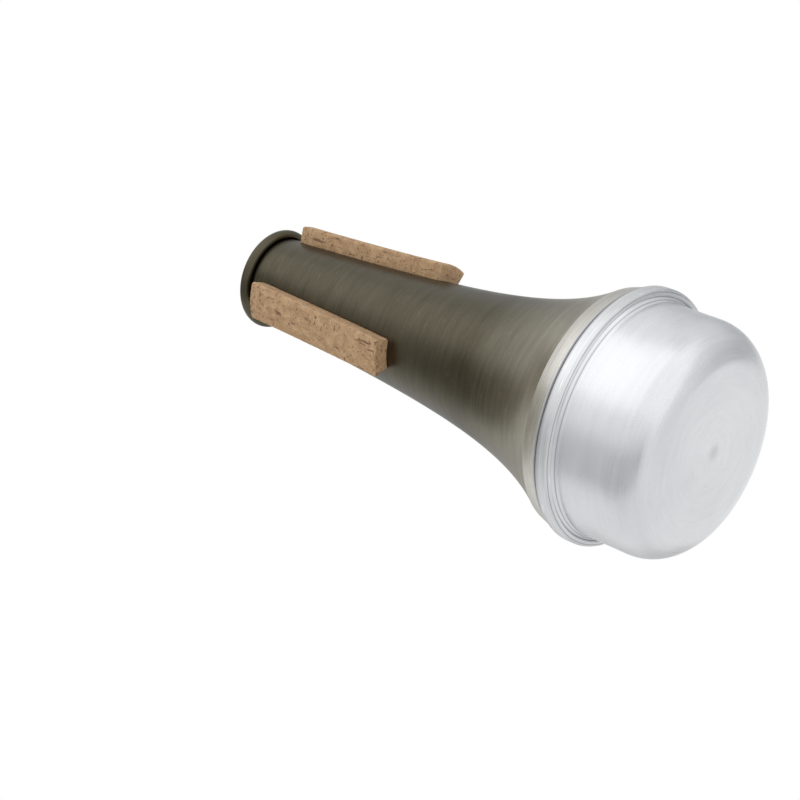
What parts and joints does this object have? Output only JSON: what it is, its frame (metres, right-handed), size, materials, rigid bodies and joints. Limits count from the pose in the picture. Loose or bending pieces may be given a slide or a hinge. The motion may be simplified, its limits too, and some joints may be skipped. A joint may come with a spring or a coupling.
{
  "type": "trumpet mute",
  "caption": "Straight mute: a hollow spun cone open at its narrow end, a round cap locked on by a rolled seam, and cork strips round the neck.",
  "frame": {"origin": "centre of the cap's flat end, on which the mute stands", "axes": "+Z along the mute's axis, from the flat end of the cap towards the open mouth; +X through the middle of cork_strip_1"},
  "size_m": [0.0696, 0.0696, 0.1551],
  "materials": {
    "cap_metal": "satin spun aluminium with fine turning lines",
    "cone_metal": "brushed spun aluminium with fine turning lines",
    "cork": "raw cork, sanded"
  },
  "bodies": {
    "root": {"cone_body": "cone_metal", "end_cap": "cap_metal", "cork_strip_1": "cork", "cork_strip_2": "cork", "cork_strip_3": "cork"}
  },
  "joints": []
}
